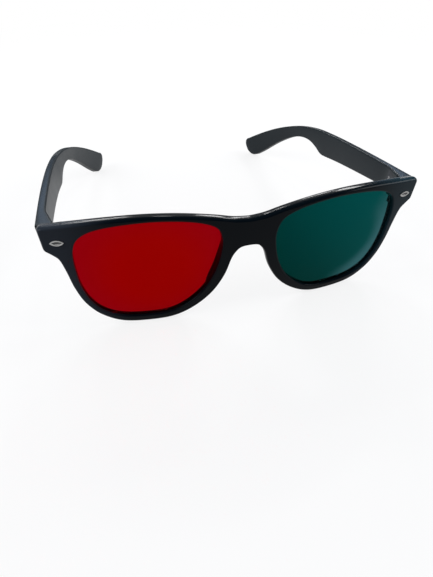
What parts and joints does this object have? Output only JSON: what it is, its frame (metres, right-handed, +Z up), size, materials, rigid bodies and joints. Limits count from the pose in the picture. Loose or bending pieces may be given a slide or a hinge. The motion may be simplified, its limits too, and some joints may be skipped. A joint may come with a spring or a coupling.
{
  "type": "3d glasses",
  "caption": "Two-colour 3D viewing glasses: bowed black moulded front, red and green filters, oval metal inlays, and folding temples on screw hinges with ear bends.",
  "frame": {"origin": "middle of the glasses seen from above, on the plane that the rims and temple tips stand on", "axes": "+X towards the wearer's left, +Y from the front back to the temple tips, +Z up"},
  "size_m": [0.1456, 0.1485, 0.0478],
  "materials": {
    "front_plastic": "black moulded plastic with a fine satin gloss",
    "temple_plastic": "black moulded plastic with satin inner faces",
    "red_filter": "clear red tinted plastic sheet",
    "green_filter": "clear blue-green tinted plastic sheet",
    "inlay_metal": "bright metal with a sunk middle",
    "hinge_metal": "stamped steel with a black finish",
    "screw_metal": "turned steel with a slot"
  },
  "bodies": {
    "front": {"front_frame": "front_plastic", "red_lens": "red_filter", "green_lens": "green_filter", "right_front_inlay": "inlay_metal", "left_front_inlay": "inlay_metal", "right_front_hinge_leaf": "hinge_metal", "left_front_hinge_leaf": "hinge_metal", "right_front_leaf_screws": "screw_metal", "left_front_leaf_screws": "screw_metal", "right_hinge_screw": "screw_metal", "left_hinge_screw": "screw_metal"},
    "right_temple_arm": {"right_temple": "temple_plastic", "right_temple_hinge_leaf": "hinge_metal", "right_temple_leaf_screws": "screw_metal"},
    "left_temple_arm": {"left_temple": "temple_plastic", "left_temple_hinge_leaf": "hinge_metal", "left_temple_leaf_screws": "screw_metal"}
  },
  "joints": [
    {"name": "right_temple_fold", "type": "hinge", "parent": "front", "child": "right_temple_arm", "pos_m": [-0.06498, -0.06164, 0.04008], "axis": [0, 0, -1], "range_deg": [0, 75]},
    {"name": "left_temple_fold", "type": "hinge", "parent": "front", "child": "left_temple_arm", "pos_m": [0.06498, -0.06164, 0.04008], "axis": [0, 0, 1], "range_deg": [0, 84]}
  ]
}
